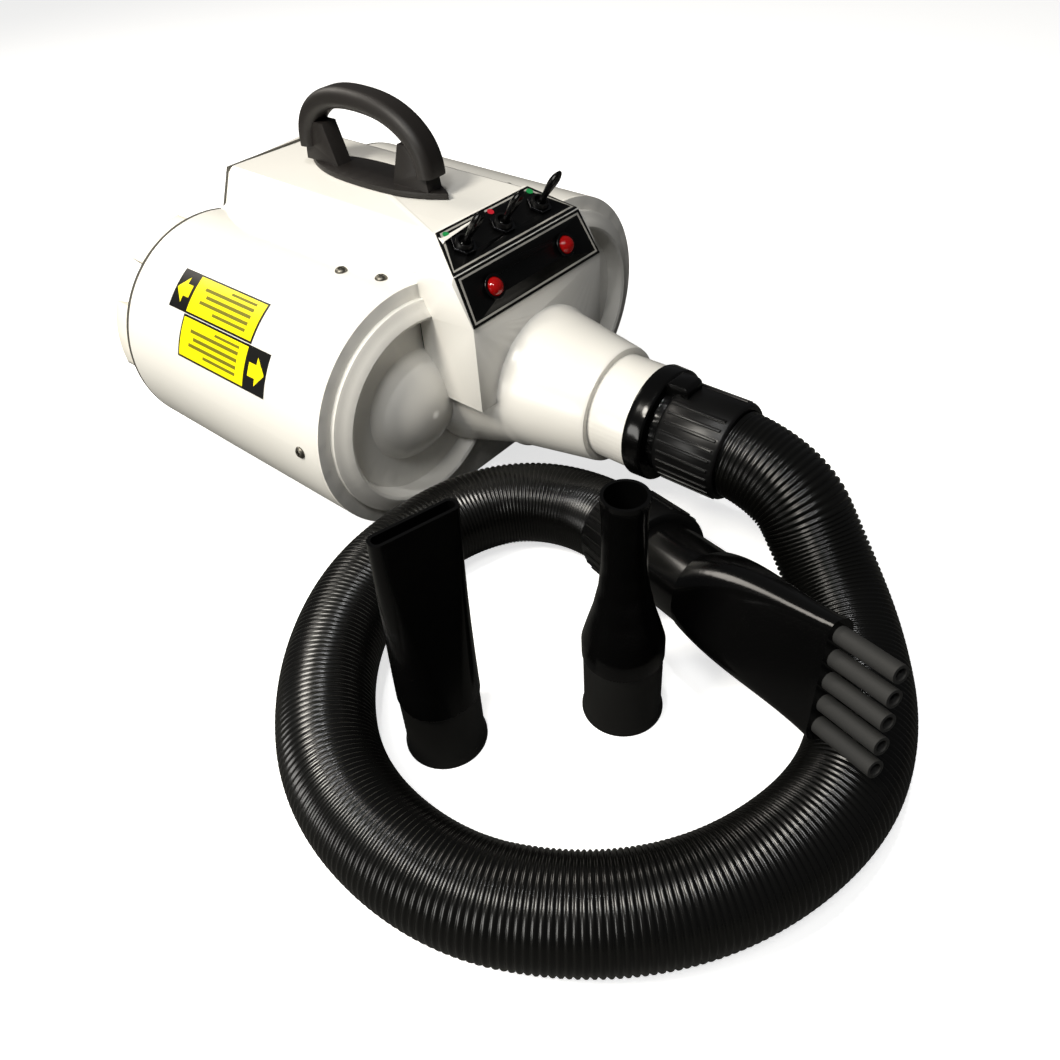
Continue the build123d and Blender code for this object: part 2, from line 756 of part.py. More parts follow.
def make_flat_nozzle():
    ring = nozzle_base_points(0.0)
    top = NOZZLE_BASE_LEN - 4.0
    ring = ring[:3] + [(NOZZLE_BASE_R, top), (0.0, top), (0.0, 0.0)]
    body = turned_z(ring) + fan_loft(0.0, 0.0)
    body -= Pos(0, 0, top / 2) * Cylinder(NOZZLE_BASE_R - NOZZLE_WALL, top)
    body -= fan_loft(NOZZLE_WALL * 0.9, 0.5)
    keep("flat_nozzle", Pos(*FLAT_XY, 0) * Rot(0, 0, FLAT_TURN) * body)


def make_rear():
    gap = SHEET + SKIN_GAP
    skirt = outline(gap) - outline(gap + 2.0)
    cover = slab(skirt, SHELL_BACK - 18.0, SHELL_BACK)
    cover += slab(outline(gap), SHELL_BACK, SHELL_BACK + GASKET_T)
    cover += slab(outline(gap + 4.0), SHELL_BACK + GASKET_T, SHELL_BACK + GASKET_T + 2.0)
    for _, side in SIDES:
        cover -= on_barrel(side, rod_y(INTAKE_R, SHELL_BACK - 1, SHELL_BACK + 9))
        for turn in (0, 60, 120):
            bar = box(-INTAKE_R - 2, INTAKE_R + 2, SHELL_BACK, SHELL_BACK + GASKET_T, -1.5, 1.5)
            cover += on_barrel(side, Rot(0, turn, 0) * bar)
        ring = rod_y(INTAKE_R + 5.0, SHELL_BACK + 4, SHELL_BACK + 11) - rod_y(INTAKE_R + 2.5, 0, 120)
        cover += on_barrel(side, ring)
    cover -= inlet_cut()
    keep("rear_cover", cover)
    strip = outline() - outline(gap)
    keep("rear_gasket", slab(strip, SHELL_BACK, SHELL_BACK + GASKET_T))


def inlet_cut():
    y = SHELL_BACK
    return box(-INLET_W / 2, INLET_W / 2, y - 2, y + 8, INLET_Z - INLET_H / 2, INLET_Z + INLET_H / 2)


def make_inlet():
    y = SHELL_BACK + GASKET_T + 2.0
    w = INLET_W / 2 - 0.1
    h = INLET_H / 2 - 0.1
    body = box(-w, w, y - 24.0, y, INLET_Z - h, INLET_Z + h)
    body += box(-22.0, 22.0, y, y + 2.0, INLET_Z - h - 1.9, INLET_Z + h + 1.9)
    body -= box(2.4 - w, w - 2.4, y - 16.0, y + 3, INLET_Z + 2.4 - h, INLET_Z - 2.4 + h)
    for x, z in ((-7.0, -1.5), (0.0, 2.0), (7.0, -1.5)):
        body += box(x - 1.0, x + 1.0, y - 16.5, y - 2.0, INLET_Z + z - 2.0, INLET_Z + z + 2.0)
    keep("mains_inlet", body)


def make_caps():
    seat = SHELL_BACK + GASKET_T + 2.0
    for name, side in SIDES:
        cap = rod_y(CAP_R, seat + 0.3, CAP_BACK)
        cap -= rod_y(INTAKE_R + 5.3, seat, seat + 7.0)
        cap -= rod_y(INTAKE_R + 3.0, seat + 5.0, CAP_BACK - 3.0)
        half = math.radians(LUG_ANGLE / 2)
        for i in range(LUGS):
            lug = slab(Circle(LUG_R) - Circle(CAP_R - 1.0), seat + 0.3, CAP_BACK)
            reach = LUG_R * 1.4
            x, z = reach * math.cos(half), reach * math.sin(half)
            wedge = make_face(Polyline((0, 0), (x, -z), (x, z), close=True))
            lug = lug & slab(wedge, 0, 200)
            turn = LUG_FIRST + 360.0 * i / LUGS
            turn = turn if side < 0 else 180.0 - turn
            cap += Rot(0, -turn, 0) * lug
        for k in range(-3, 4):
            span = math.sqrt((INTAKE_R - 4.0) ** 2 - (k * 13.0) ** 2)
            cap -= box(-span, span, CAP_BACK - 4, CAP_BACK + 1, k * 13.0 - 3.6, k * 13.0 + 3.6)
        keep("intake_cap_" + name, on_barrel(side, cap))
        foam = rod_y(INTAKE_R + 2.9, CAP_BACK - 3.0 - FOAM_T, CAP_BACK - 3.0)
        keep("filter_foam_" + name, on_barrel(side, foam))


def make_bulkhead():
    plate = slab(outline(SHEET + SKIN_GAP), BULKHEAD_Y, BULKHEAD_Y + BULKHEAD_T)
    for _, side in SIDES:
        plate -= on_barrel(side, rod_y(CAN_R + 0.3, 0, 60))
    plate += slab(outline(SHEET) - outline(SHEET + SKIN_GAP), BULKHEAD_Y, BULKHEAD_Y + BULKHEAD_T)
    keep("bulkhead", plate)


def fan_shell():
    back = CAN_BACK
    gasket = BULKHEAD_Y + BULKHEAD_T + 3.0
    points = [
        (CAN_R + 8.0, gasket),
        (CAN_R + 8.0, back),
        (22.0, back),
        (22.0, back - CAN_T),
        (CAN_R - CAN_T, back - CAN_T),
        (CAN_R - CAN_T, CAN_FRONT + CAN_T),
        (FRAME_R - 2.0, CAN_FRONT + CAN_T),
        (FRAME_R - 2.0, CAN_FRONT),
        (CAN_R, CAN_FRONT),
        (CAN_R, gasket),
    ]
    return turned_y(points)


def motor_frame():
    """Open cup that carries both bearings; its windows let the air out forwards."""
    front = FRAME_FRONT
    cup = turned_y([
        (FRAME_R, CAN_FRONT),
        (FRAME_R, front),
        (SHAFT_R + SHAFT_GAP, front),
        (SHAFT_R + SHAFT_GAP, front + 5.0),
        (FRAME_R - 2.5, front + 5.0),
        (FRAME_R - 2.5, CAN_FRONT),
    ])
    spider = turned_y([
        (FRAME_R - 2.5, CAN_FRONT - 4.0),
        (FRAME_R - 2.5, CAN_FRONT),
        (SHAFT_R + SHAFT_GAP, CAN_FRONT),
        (SHAFT_R + SHAFT_GAP, CAN_FRONT - 4.0),
    ])
    solid = cup + spider
    for i in range(4):
        port = Pos(26.0, CAN_FRONT - 2, 0) * Rot(90, 0, 0) * Cylinder(8.0, 20)
        window = box(FRAME_R - 12, FRAME_R + 4, front + 7, front + 19, -11, 11)
        solid -= Rot(0, 45 + 90 * i, 0) * port
        solid -= Rot(0, 45 + 90 * i, 0) * window
    return solid


def stator():
    core = rod_y(FRAME_R - 2.5, FRAME_FRONT + 22, CAN_FRONT - 6)
    core -= rod_y(STATOR_IN_R, FRAME_FRONT, CAN_FRONT)
    core -= box(-50, 50, -100, 0, FRAME_R - 8, FRAME_R)
    core -= box(-50, 50, -100, 0, -FRAME_R, 8 - FRAME_R)
    return core


def armature():
    front = FRAME_FRONT
    points = [
        (0, front - 2),
        (SHAFT_R, front - 2),
        (SHAFT_R, front + 8),
        (11.0, front + 8),
        (11.0, front + 19),
        (SHAFT_R + 3, front + 19),
        (SHAFT_R + 3, front + 24),
        (ARMATURE_R, front + 24),
        (ARMATURE_R, CAN_FRONT - 9),
        (SHAFT_R, CAN_FRONT - 9),
        (SHAFT_R, CAN_BACK - 6),
        (0, CAN_BACK - 6),
    ]
    return turned_y(points)


def impeller():
    back = CAN_BACK - 8.0
    disc = rod_y(IMPELLER_R, back - 22.0, back - 20.5)
    front = rod_y(IMPELLER_R, back - 1.5, back) - rod_y(20.0, back - 3, back + 1)
    hub = rod_y(9.0, back - 22.0, back - 2.0)
    wheel = disc + front + hub
    for i in range(9):
        blade = box(12.0, IMPELLER_R - 0.5, back - 21.0, back - 1.0, -0.7, 0.7)
        wheel += Rot(0, 40.0 * i, 0) * (Rot(0, 18, 0) * blade)
    wheel = wheel & rod_y(IMPELLER_R, back - 30, back + 5)
    return wheel - rod_y(SHAFT_R, back - 40, back + 10)


def brushes():
    pair = None
    for s in (-1, 1):
        y = FRAME_FRONT + 13.5
        arm = box(min(s * 11.3, s * 42.5), max(s * 11.3, s * 42.5), y - 3.5, y + 3.5, -4, 4)
        pair = arm if pair is None else pair + arm
    return pair & rod_y(FRAME_R - 2.5, -200, 200)


def make_motors():
    gasket = BULKHEAD_Y + BULKHEAD_T
    ring = rod_y(CAN_R + 9.0, gasket, gasket + 3.0) - rod_y(CAN_R, 0, 60)
    for name, side in SIDES:
        keep("motor_gasket_" + name, on_barrel(side, ring))
        keep("fan_shell_" + name, on_barrel(side, fan_shell()))
        keep("motor_frame_" + name, on_barrel(side, motor_frame()))
        keep("stator_" + name, on_barrel(side, stator()))
        keep("armature_" + name, on_barrel(side, armature()))
        keep("impeller_" + name, on_barrel(side, impeller()))
        keep("brushes_" + name, on_barrel(side, brushes()))


def make_heater():
    centre = Pos(0, 0, NECK_Z)
    back, front = BOX_FRONT - 1.0, SLEEVE_BACK + 4.0
    reach = SLEEVE_R - HEATER_GAP
    coil_r = reach - 6.0
    rings = None
    for i in range(6):
        ring = Pos(0, back - 5.0 - 5.6 * i, 0) * Rot(90, 0, 0) * Torus(coil_r, 1.1)
        rings = ring if rings is None else rings + ring
    lean = coil_r * math.sqrt(0.5)
    coil = rings + rod_y(1.5, back - 33.5, back - 4.5, x=lean, z=lean)
    card = reach - 1.0
    cross = box(-card, card, front, back, -0.6, 0.6) + box(-0.6, 0.6, front, back, -card, card)
    cross += rod_y(reach + 1.5, back - 4.0, back + 4.0) - rod_y(reach, back - 9, back + 9)
    cross += box(-reach - 1.0, reach + 1.0, back - 4.0, back, -0.6, 0.6)
    seat = BOX_FRONT + WALL + 0.05
    ear = box(-3.0, 3.0, seat, seat + 2.0, reach + 0.5, NECK_ROOT_R + 4.5)
    for turn in (-45, 45):
        cross += Rot(0, turn, 0) * ear
    cross &= rod_y(NECK_ROOT_R + 3.5, front - 1, seat + 2.0)
    keep("heater_coil", centre * coil)
    keep("heater_frame", centre * (cross - coil))
    disc = Pos(0, back + 7.0, 0.6 + 6.0) * Box(9.0, 6.0, 12.0)
    post = box(-3.0, 3.0, back, back + 7.0, 0.6, 6.0)
    keep("thermostat", centre * (disc + post))


def make_board():
    y = FRONT_Y + 3.5 + WALL
    mid = BARREL_Z + 40.0
    board = box(-68.0, 68.0, y + 5.0, y + 6.6, mid - 19.0, mid + 19.0)
    for x in (-63.5, 63.5):
        board += rod_y(3.0, y, y + 5.0, x=x, z=BARREL_Z + 41.0)
    keep("control_board", board)
    keep("capacitor", box(-18.0, 14.0, y + 6.6, y + 22.0, mid - 11.0, mid + 11.0))


def grip_solid():
    half = HANDLE_LEN / 2
    mid = HANDLE_TOP - GRIP_T / 2
    y = HANDLE_Y
    low = SPINE_TOP + PLATE_H + 9.0
    path = Spline(
        (0, y + half - 6.0, low),
        (0, y + half - 12.0, mid - 17.0),
        (0, y + half * 0.42, mid - 2.5),
        (0, y, mid),
        (0, y - half * 0.46, mid - 4.0),
        (0, y - half * 0.80, mid - 17.0),
        (0, y - half + 5.0, low),
    )
    start = Plane(origin=path @ 0, x_dir=(1, 0, 0), z_dir=path % 0)
    return sweep(start * RectangleRounded(GRIP_W, GRIP_T, 5.8), path=path)


def make_handle():
    grip = grip_solid()
    keep("handle_grip", grip)
    half = BASE_LEN / 2
    w = PLATE_W / 2
    y = BASE_Y
    lens = Spline((0, y + half), (w * 0.8, y + half * 0.55), (w, y), (w * 0.8, y - half * 0.55), (0, y - half))
    rest = Spline((0, y - half), (-w * 0.8, y - half * 0.55), (-w, y), (-w * 0.8, y + half * 0.55), (0, y + half))
    plate = extrude(Pos(0, 0, SPINE_TOP) * make_face([lens, rest]), amount=PLATE_H)
    top = SPINE_TOP + PLATE_H
    for s in (-1, 1):
        foot = HANDLE_Y + s * (HANDLE_LEN / 2 - 19.0)
        ring = [
            (foot - 16.0, top),
            (foot + 16.0, top),
            (foot + 12.0 if s > 0 else foot + 7.0, top + 26.0),
            (foot - 7.0 if s > 0 else foot - 12.0, top + 26.0),
        ]
        post = extrude(Plane.YZ * make_face(Polyline(*ring, close=True)), amount=6.0, both=True)
        plate += post
    plate -= grip
    parts = sorted(plate.solids(), key=lambda s: s.volume)
    keep("handle_base", parts[-1])


def make_screws():
    head = Cylinder(SCREW_HEAD_R, SCREW_HEAD_H) & (Pos(0, 0, -2.9) * Sphere(4.6))
    head = Pos(0, 0, SCREW_HEAD_H / 2) * head
    head -= Pos(0, 0, SCREW_HEAD_H) * (Box(4.4, 0.9, 1.8) + Box(0.9, 4.4, 1.8))
    shank = Pos(0, 0, -3.0) * Cylinder(SCREW_R, 6.2)
    screw = head + shank
    group = None
    for side, angle, y in shell_screw_spots():
        item = radial(side, angle, y, Pos(0, 0, 0.02) * screw)
        group = item if group is None else group + item
    keep("shell_screws", group)


def make_feet():
    feet = None
    pins = None
    skin = slab(outline(), SHELL_FRONT, SHELL_BACK)
    for _, side in SIDES:
        for y in (FOOT_FRONT_Y, FOOT_BACK_Y):
            spot = Pos(side * FOOT_X, y, 0)
            pad = turned_z([
                (0, 2.2),
                (3.4, 2.2),
                (3.4, 0),
                (FOOT_R - 1.0, 0),
                (FOOT_R, 1.2),
                (FOOT_R - 1.4, GROUND_GAP + 1.6),
                (0, GROUND_GAP + 1.6),
            ])
            pad -= Cylinder(SCREW_R, 60)
            body = spot * pad
            body -= skin
            pin = spot * (Pos(0, 0, 3.0) * Cylinder(3.2, 1.6))
            pin += spot * (Pos(0, 0, 7.0) * Cylinder(SCREW_R, 8.0))
            feet = body if feet is None else feet + body
            pins = pin if pins is None else pins + pin
    keep("feet", feet - pins)
    keep("foot_screws", pins)
    for name in ("barrel_shell", "front_cover"):
        PARTS[name] = PARTS[name] - pins


def label_piece(y0, y1, a0, a1):
    """Thin curved sticker on the near barrel between two angles and two stations."""
    band = Circle(BARREL_R + LABEL_T) - Circle(BARREL_R)
    reach = BARREL_R * 1.5
    corners = [(0.0, 0.0)]
    for a in (a0, (a0 + a1) / 2, a1):
        corners.append((reach * math.cos(math.radians(a)), reach * math.sin(math.radians(a))))
    wedge = make_face(Polyline(*corners, close=True))
    return on_barrel(-1, slab(band & wedge, y0, y1))


def make_labels():
    keep("label_upper", label_piece(-37.0, 51.0, 121.0, 140.3))
    keep("label_lower", label_piece(-57.0, 33.0, 140.7, 160.5))


def export_all():
    hose_side = ("hose", "hose_cuff_tool", "claw_body", "claw_fingers")
    boxes = [PARTS[n].bounding_box() for n in PARTS if n not in hose_side]
    mid_x = (min(b.min.X for b in boxes) + max(b.max.X for b in boxes)) / 2
    mid_y = (min(b.min.Y for b in boxes) + max(b.max.Y for b in boxes)) / 2
    low_z = min(b.min.Z for b in boxes)
    shift = Pos(-mid_x, -mid_y, -low_z)
    print("machine offset", round(-mid_x, 3), round(-mid_y, 3), round(-low_z, 3))
    for name, solid in PARTS.items():
        moved = shift * solid
        print(name, len(moved.solids()), round(moved.volume, 1), moved.is_valid)
        export_step(moved, "parts/" + name + ".step")


make_shell()
make_front_cover()
make_panels()
make_toggles()
make_lamps()
make_marks()
make_sleeve()
make_collar()
make_machine_cuff()
make_hose()
make_tool_cuff()
make_claw()
make_round_nozzle()
make_flat_nozzle()
make_rear()
make_inlet()
make_caps()
make_bulkhead()
make_motors()
make_heater()
make_board()
make_handle()
make_screws()
make_feet()
make_labels()
export_all()
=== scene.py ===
import math

import bmesh
import bpy
import numpy as np
from mathutils import Matrix, Vector


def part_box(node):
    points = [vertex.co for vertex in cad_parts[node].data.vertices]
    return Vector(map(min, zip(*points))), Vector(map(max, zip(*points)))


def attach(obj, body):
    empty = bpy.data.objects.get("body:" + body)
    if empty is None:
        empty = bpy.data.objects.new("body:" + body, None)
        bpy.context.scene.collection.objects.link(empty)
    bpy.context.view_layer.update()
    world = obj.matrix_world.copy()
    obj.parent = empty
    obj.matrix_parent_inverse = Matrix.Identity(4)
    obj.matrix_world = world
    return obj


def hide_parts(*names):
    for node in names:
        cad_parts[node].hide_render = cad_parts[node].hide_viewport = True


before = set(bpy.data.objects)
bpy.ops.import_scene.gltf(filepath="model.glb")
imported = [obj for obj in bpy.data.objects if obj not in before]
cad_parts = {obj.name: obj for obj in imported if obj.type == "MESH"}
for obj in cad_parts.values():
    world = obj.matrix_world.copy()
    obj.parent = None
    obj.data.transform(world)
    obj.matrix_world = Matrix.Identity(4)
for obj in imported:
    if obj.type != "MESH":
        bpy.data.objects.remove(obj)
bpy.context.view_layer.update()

# Lengths are millimetres about the machine's own middle: x = 0 half-way between the
# barrels, the outlet towards -y, the floor at z = 0. HOME moves them into the frame.
MM = 0.001
shell_lo, shell_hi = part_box("barrel_shell")
SHELL_BACK = 93.0
HOME = np.array([(shell_lo.x + shell_hi.x) / 2, shell_hi.y - SHELL_BACK * MM, 0.0])

BARREL_R = 80.0
BARREL_X = 75.5
BARREL_Z = 87.0
COVER_FRONT = -108.0
SPINE_TOP = 189.0
SPINE_HALF = 42.0
CREASE_X = 53.5
BOX_FRONT = -151.0
PANEL_MID = (-136.0, 175.5)
PANEL_TOP = (COVER_FRONT, SPINE_TOP)
PANEL_LOW = (BOX_FRONT, 148.0)
HOSE_OD = 52.0
RIB_PITCH = 3.1
RIB_DEPTH = 1.5
HOSE_SIDES = 64
PANEL_PLATE = 0.8          # thickness of the two panel plates
PANEL_HALVES = (42.0, 57.6, 60.6)   # half widths at the panel's top, fold and low edge
LINE_INSET = 2.0
LINE_WIDTH = 1.2
LABEL_R = BARREL_R + 0.25
PRINT_T = 0.08             # thickness of the printed films
NOZZLE_FOOT_TOPS = {"round_nozzle": 44.5, "flat_nozzle": 40.5}
RIDGE_R = 3.4


# ---------------------------------------------------------------- helpers

def linear(code):
    """Linear RGBA from an sRGB hex colour."""
    parts = [int(code[i:i + 2], 16) / 255 for i in (1, 3, 5)]
    return [c / 12.92 if c <= 0.04045 else ((c + 0.055) / 1.055) ** 2.4 for c in parts] + [1.0]


def add(tree, kind, settings=None, **inputs):
    """Adds a shader node, with its settings and its inputs as values or sockets."""
    new = tree.nodes.new(kind)
    for key, value in (settings or {}).items():
        setattr(new, key, value)
    for key, value in inputs.items():
        numbered = key[0] == "i" and key[1:].isdigit()
        socket = new.inputs[int(key[1:]) if numbered else key.replace("_", " ")]
        if isinstance(value, bpy.types.NodeSocket):
            tree.links.new(value, socket)
        else:
            socket.default_value = value
    return new


def place(points):
    """Millimetres about the machine's middle to metres in the frame."""
    return np.asarray(points, float) * MM + HOME


def mesh_piece(name, verts, faces, material, body, slot, smooth=True, crease=None):
    """A closed mesh with its faces pointing outwards, riding on a body."""
    mesh = bpy.data.meshes.new(name)
    mesh.from_pydata(place(verts).tolist(), [], faces)
    mesh.validate()
    bm = bmesh.new()
    bm.from_mesh(mesh)
    bmesh.ops.remove_doubles(bm, verts=bm.verts, dist=1e-6)
    if bm.calc_volume(signed=True) < 0:
        bmesh.ops.reverse_faces(bm, faces=bm.faces)
    bm.to_mesh(mesh)
    bm.free()
    mesh.polygons.foreach_set("use_smooth", [smooth] * len(mesh.polygons))
    piece = bpy.data.objects.new(name, mesh)
    bpy.context.scene.collection.objects.link(piece)
    mesh.materials.append(material)
    if crease:
        split = piece.modifiers.new("edges", "EDGE_SPLIT")
        split.split_angle = math.radians(crease)
    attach(piece, body)
    return piece


def grid_faces(rows, columns, wrap_rows=False, wrap_columns=False):
    """Quads over a grid of points numbered row by row."""
    i = np.arange(rows if wrap_rows else rows - 1)
    j = np.arange(columns if wrap_columns else columns - 1)
    a, b = np.meshgrid(i, j, indexing="ij")
    right, down = (b + 1) % columns, (a + 1) % rows
    quads = np.stack([a * columns + b, a * columns + right, down * columns + right, down * columns + b], -1)
    return quads.reshape(-1, 4).tolist()


def sheet_piece(name, points, material, body, slot, wrap_rows=False, wrap_columns=True, ends=True, **more):
    """Grid surface: rows of points, each row a ring. Both end rows are closed with a fan
    of faces to their middle point, unless the rows join up again."""
    rows, columns = points.shape[:2]
    verts = points.reshape(-1, 3)
    faces = grid_faces(rows, columns, wrap_rows, wrap_columns)
    if ends and not wrap_rows:
        extra = np.stack([points[0].mean(0), points[-1].mean(0)])
        verts = np.vstack([verts, extra])
        for k, row in enumerate((0, rows - 1)):
            hub = rows * columns + k
            for j in range(columns):
                faces.append([row * columns + j, row * columns + (j + 1) % columns, hub])
    return mesh_piece(name, verts, faces, material, body, slot, **more)


def frames_along(path):
    """Tangent, side and up vectors along a path, carried without twist: each side vector
    is the last one with its share along the new tangent taken away."""
    step = np.gradient(path, axis=0)
    tangent = step / np.linalg.norm(step, axis=1)[:, None]
    side = np.cross(tangent[0], [0.0, 0.0, 1.0])
    side /= np.linalg.norm(side)
    sides = []
    for t in tangent:
        side = side - t * (side @ t)
        side /= np.linalg.norm(side)
        sides.append(side)
    sides = np.array(sides)
    return tangent, sides, np.cross(sides, tangent)


# ---------------------------------------------------------------- camera

def make_camera():
    """Camera about half a metre off the outlet, looking down at it, slightly rolled."""
    azimuth, elevation, roll = (math.radians(v) for v in (-46.96, 41.59, -4.38))
    level = math.cos(elevation)
    back = Vector((math.sin(azimuth) * level, -math.cos(azimuth) * level, math.sin(elevation)))
    right = Vector((0, 0, 1)).cross(back).normalized()
    up = back.cross(right)
    side = right * math.cos(roll) + up * math.sin(roll)
    top = up * math.cos(roll) - right * math.sin(roll)
    data = bpy.data.cameras.new("camera")
    data.sensor_width = 36.0
    data.lens = 31.19
    data.clip_start = 0.02
    camera = bpy.data.objects.new("camera", data)
    bpy.context.scene.collection.objects.link(camera)
    spot = Vector(place((-392.0, -493.0, 413.0)))
    camera.matrix_world = Matrix.Translation(spot) @ Matrix((side, top, back)).transposed().to_4x4()
    bpy.context.scene.camera = camera


make_camera()


# ---------------------------------------------------------------- materials

def plastic(name, colour, rough, specular=0.5, grain=0.0, grain_mm=0.6, mottle=0.04, coat=0.0, tint=None):
    """Opaque plastic or paint: colour that drifts slightly over 60 mm, roughness that
    varies over 25 mm, and a fine moulded grain as bump."""
    mat = bpy.data.materials.new(name)
    mat.use_nodes = True
    tree = mat.node_tree
    shader = tree.nodes["Principled BSDF"]
    where = add(tree, "ShaderNodeTexCoord").outputs["Object"]
    slow = add(tree, "ShaderNodeTexNoise", Vector=where, Scale=1 / 0.06, Detail=3.0)
    tone = add(tree, "ShaderNodeMix", {"data_type": "RGBA"}, i0=slow.outputs["Fac"])
    base = np.array(linear(colour))
    other = np.array(linear(tint)) if tint else base * (1 - mottle)
    other[3] = 1.0
    tone.inputs[6].default_value = base
    tone.inputs[7].default_value = other
    tree.links.new(tone.outputs[2], shader.inputs["Base Color"])
    patch = add(tree, "ShaderNodeTexNoise", Vector=where, Scale=1 / 0.025, Detail=4.0)
    span = add(tree, "ShaderNodeMapRange", Value=patch.outputs["Fac"])
    span.inputs["To Min"].default_value = rough * 0.85
    span.inputs["To Max"].default_value = min(1.0, rough * 1.15)
    tree.links.new(span.outputs["Result"], shader.inputs["Roughness"])
    shader.inputs["Specular IOR Level"].default_value = specular
    shader.inputs["Coat Weight"].default_value = coat
    shader.inputs["Coat Roughness"].default_value = 0.08
    if grain:
        fine = add(tree, "ShaderNodeTexNoise", Vector=where, Scale=1000 / grain_mm, Detail=2.0)
        bump = add(tree, "ShaderNodeBump", Strength=grain, Distance=0.0001, Height=fine.outputs["Fac"])
        tree.links.new(bump.outputs["Normal"], shader.inputs["Normal"])
    return mat


def metal(name, colour, rough, brushed_mm=0.0):
    """Bare metal: full metallic, with fine drawn lines where it is brushed."""
    mat = bpy.data.materials.new(name)
    mat.use_nodes = True
    tree = mat.node_tree
    shader = tree.nodes["Principled BSDF"]
    shader.inputs["Metallic"].default_value = 1.0
    shader.inputs["Base Color"].default_value = linear(colour)
    where = add(tree, "ShaderNodeTexCoord").outputs["Object"]
    grainy = add(tree, "ShaderNodeTexNoise", Vector=where, Scale=1000 / (brushed_mm or 3.0), Detail=3.0)
    span = add(tree, "ShaderNodeMapRange", Value=grainy.outputs["Fac"])
    span.inputs["To Min"].default_value = rough * 0.75
    span.inputs["To Max"].default_value = rough * 1.25
    tree.links.new(span.outputs["Result"], shader.inputs["Roughness"])
    return mat


ENAMEL = plastic("stoved_enamel_white", "#EFEDE6", 0.24, coat=0.35, grain=0.06, grain_mm=2.2, tint="#EAE8E0")
ABS_WHITE = plastic("moulded_abs_white", "#EEECE5", 0.30, coat=0.15, grain=0.05, grain_mm=1.4, tint="#E9E6DE")
ABS_SATIN = plastic("moulded_abs_satin_white", "#EFEBE0", 0.5, grain=0.12, grain_mm=0.8, tint="#E8E3D6")
PANEL = plastic("printed_polyester_black", "#060606", 0.32, specular=0.22, grain=0.05, grain_mm=0.5)
PANEL_LINE = plastic("screen_print_grey", "#A5A39C", 0.5, specular=0.3)
BLACK_GLOSS = plastic("moulded_abs_black_gloss", "#060606", 0.16, specular=0.30, grain=0.03, grain_mm=2.0)
BLACK_SATIN = plastic("moulded_abs_black_satin", "#0B0B0B", 0.34, specular=0.26, grain=0.10, grain_mm=0.8)
NOZZLE_SATIN = plastic("moulded_abs_black_foot", "#151514", 0.5, specular=0.3, grain=0.12, grain_mm=0.8)
GRIP = plastic("grained_nylon_black", "#1B1816", 0.5, specular=0.35, grain=0.35, grain_mm=0.9)
HOSE = plastic("blown_eva_hose_black", "#080807", 0.24, specular=0.4, grain=0.05, grain_mm=1.0)
FINGER = plastic("soft_pvc_dark_grey", "#2B2B2A", 0.62, specular=0.3, grain=0.2, grain_mm=0.7)
RUBBER = plastic("rubber_black", "#1A1A1A", 0.7, specular=0.3, grain=0.3, grain_mm=0.8)
GASKET = plastic("foam_rubber_grey", "#4C4A44", 0.8, specular=0.2, grain=0.3, grain_mm=0.8)
FOAM = plastic("open_cell_foam_grey", "#2E2E30", 0.95, specular=0.1, grain=1.0, grain_mm=1.2)
YELLOW = plastic("printed_film_yellow", "#F7E600", 0.38, specular=0.4, mottle=0.03)
LABEL_BLACK = plastic("printed_film_black", "#0B0B0A", 0.4, specular=0.3)
LABEL_INK = plastic("printed_dashes", "#6F6A12", 0.5, specular=0.3)
GREEN_DOT = plastic("printed_dot_green", "#1E8F4A", 0.4)
RED_DOT = plastic("printed_dot_red", "#C01F2E", 0.4)
BOARD = plastic("coated_board_green", "#1F5A34", 0.4)
FILM = plastic("capacitor_film_blue", "#28477F", 0.35)
MICA = plastic("pressed_mica", "#B9AE95", 0.7, grain=0.4, grain_mm=2.0)
DARK_CHROME = metal("black_nickel_plate", "#4A4A4C", 0.22)
ZINC = metal("zinc_plated_steel", "#A9A69F", 0.34, brushed_mm=0.8)
# Screw zinc darkened to a dull grey as painted shade, standing in for the shade that falls on the screw
# heads.
SCREW = metal("zinc_screw_painted_shade", "#6B6860", 0.42, brushed_mm=0.8)
IRON = metal("laminated_iron", "#4A4A4C", 0.5, brushed_mm=0.5)
NICHROME = metal("nichrome_wire", "#77706A", 0.4, brushed_mm=0.4)


def lens_material():
    """Clear red acrylic over a dark chamber: deep red with a sharp highlight."""
    mat = plastic("cast_acrylic_red", "#B30C0C", 0.08, specular=0.6, tint="#7A0505")
    shader = mat.node_tree.nodes["Principled BSDF"]
    shader.inputs["Transmission Weight"].default_value = 0.25
    shader.inputs["Emission Color"].default_value = linear("#A00000")
    shader.inputs["Emission Strength"].default_value = 0.12
    return mat


LENS = lens_material()


# ---------------------------------------------------------------- hose

HOSE_POINTS = (
    (0.0, -284.0, 86.4), (0.0, -327.0, 86.4), (-10.0, -363.0, 45.0), (-41.0, -399.0, 27.0),
    (-90.0, -428.0, 26.4), (-142.0, -436.0, 26.4), (-204.0, -417.0, 26.4), (-251.0, -377.0, 26.4),
    (-282.0, -318.0, 26.4), (-278.0, -243.0, 26.4), (-236.0, -184.0, 26.4), (-174.0, -146.5, 26.4),
    (-110.0, -144.5, 26.4), (-68.0, -160.0, 26.4), (-44.0, -188.0, 26.6), (-37.3, -227.58, 28.19),
    (-50.0, -258.0, 36.5),
)


